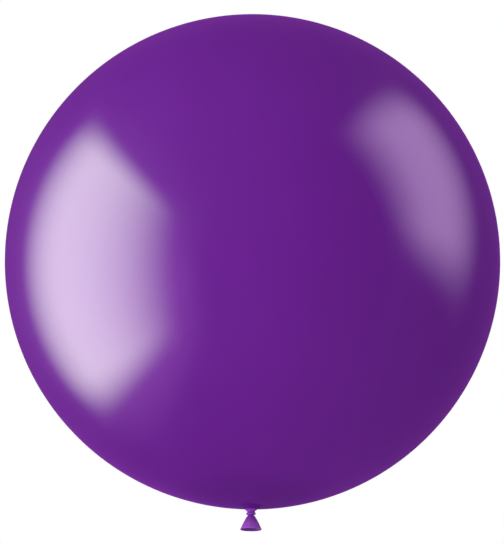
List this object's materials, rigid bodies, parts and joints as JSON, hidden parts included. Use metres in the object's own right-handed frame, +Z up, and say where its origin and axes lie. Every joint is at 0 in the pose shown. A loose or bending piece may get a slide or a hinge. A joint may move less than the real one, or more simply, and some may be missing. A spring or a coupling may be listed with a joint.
{
  "type": "round latex balloon",
  "caption": "Large round latex balloon, inflated and knotted, with a flared tail below the knot and a rolled rim round its open mouth.",
  "frame": {"origin": "on the axis at the narrowest point of the neck, just above the knot, where a ribbon is tied", "axes": "+Z up the balloon's axis, from the open mouth towards the crown; the balloon is round about Z, so X and Y are interchangeable"},
  "size_m": [0.7799, 0.7796, 0.8177],
  "materials": {
    "latex_skin": "gloss",
    "latex_neck": "gloss",
    "latex_knot": "gloss",
    "latex_tail": "gloss",
    "latex_rim": "gloss"
  },
  "bodies": {
    "envelope": {"envelope": "latex_skin", "neck": "latex_neck"},
    "knot": {"knot_core": "latex_knot", "knot_wrap": "latex_knot"},
    "tail": {"tail_gather": "latex_tail", "tail": "latex_tail", "rolled_rim": "latex_rim"}
  },
  "joints": [
    {"name": "neck_bend", "type": "hinge", "parent": "envelope", "child": "knot", "pos_m": [0, 0, 0.004], "axis": [1, 0, 0], "range_deg": [-35, 35], "stiffness_Nm_per_rad": 0.001, "deforming": ["neck"]},
    {"name": "tail_bend", "type": "hinge", "parent": "knot", "child": "tail", "pos_m": [0, 0, -0.0054], "axis": [0, 1, 0], "range_deg": [-50, 50], "stiffness_Nm_per_rad": 0.0005, "deforming": ["tail_gather"]}
  ]
}
